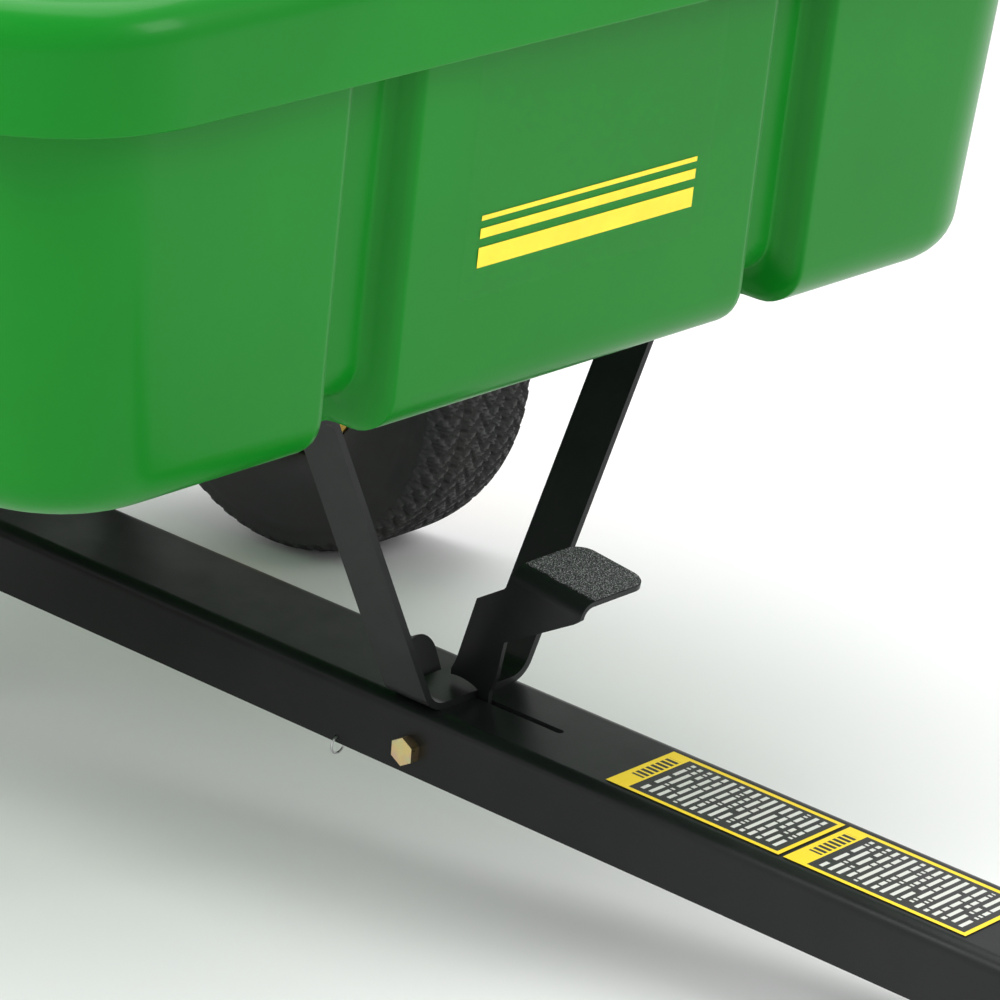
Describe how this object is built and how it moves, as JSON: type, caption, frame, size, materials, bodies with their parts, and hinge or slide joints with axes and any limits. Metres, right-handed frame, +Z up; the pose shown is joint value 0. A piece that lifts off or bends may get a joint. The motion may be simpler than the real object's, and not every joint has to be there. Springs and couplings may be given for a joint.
{
  "type": "tow behind cart",
  "caption": "Tow behind dump cart with a moulded green tub, black steel tongue, foot pedal latch and pneumatic wheels.",
  "frame": {"origin": "centre of the bounding box at the floor", "axes": "+Z up, -Y towards the hitch, +X to the cart's left; the cart stands on its tyres and on the foot of its hitch, nose down about 5.5 degrees"},
  "size_m": [0.8746, 1.551, 0.6576],
  "materials": {
    "tub": "satin gloss moulded plastic",
    "steel": "satin black paint",
    "axle": "bright steel",
    "zinc": "yellow zinc plate",
    "rim": "gloss yellow paint",
    "tyre": "matte rubber",
    "nylon": "natural nylon",
    "film": null,
    "label": "printed film with wordless bars",
    "grip": "coarse grit",
    "valve": "rubber"
  },
  "bodies": {
    "tongue": {"tongue_channel": "steel", "hitch_jaw_upper": "steel", "hitch_jaw_lower": "steel", "hitch_bolts": "zinc", "hitch_nuts": "zinc", "axle": "axle", "axle_washers": "zinc", "cotter_pins": "axle", "inner_spacers": "steel", "outer_spacers": "steel", "latch_bolt": "zinc", "latch_nut": "zinc", "latch_spacers": "axle", "latch_spring": "axle", "tongue_labels": "label"},
    "tub": {"tub_shell": "tub", "latch_strap": "steel", "strap_bolts": "zinc", "strap_nuts": "zinc", "strap_plates": "zinc", "axle_bracket_left": "steel", "axle_bracket_right": "steel", "bracket_bolts": "zinc", "bracket_nuts": "zinc", "bracket_plates": "zinc", "bracket_bushings": "nylon", "front_decal": "film"},
    "wheel_left": {"tyre_left": "tyre", "rim_left": "rim", "hub_left": "rim", "bearings_left": "nylon", "rim_bolts_left": "zinc", "valve_left": "valve"},
    "wheel_right": {"tyre_right": "tyre", "rim_right": "rim", "hub_right": "rim", "bearings_right": "nylon", "rim_bolts_right": "zinc", "valve_right": "valve"},
    "pedal": {"latch_lever": "steel", "grip_pad": "grip", "lever_bushing": "nylon"}
  },
  "joints": [
    {"name": "tub_tilt", "type": "hinge", "parent": "tongue", "child": "tub", "pos_m": [0, 0.3405, 0.14], "axis": [-1, 0, 0], "range_deg": [0, 45]},
    {"name": "wheel_left_spin", "type": "hinge", "parent": "tongue", "child": "wheel_left", "pos_m": [0.385, 0.3405, 0.14], "axis": [1, 0, 0], "continuous": true},
    {"name": "wheel_right_spin", "type": "hinge", "parent": "tongue", "child": "wheel_right", "pos_m": [-0.385, 0.3405, 0.14], "axis": [1, 0, 0], "continuous": true},
    {"name": "pedal_press", "type": "hinge", "parent": "tongue", "child": "pedal", "pos_m": [0, -0.12318, 0.08545], "axis": [1, 0, 0], "range_deg": [0, 35.5], "stiffness_Nm_per_rad": 1, "springref_deg": -17.19, "deforming": ["latch_spring"]}
  ]
}
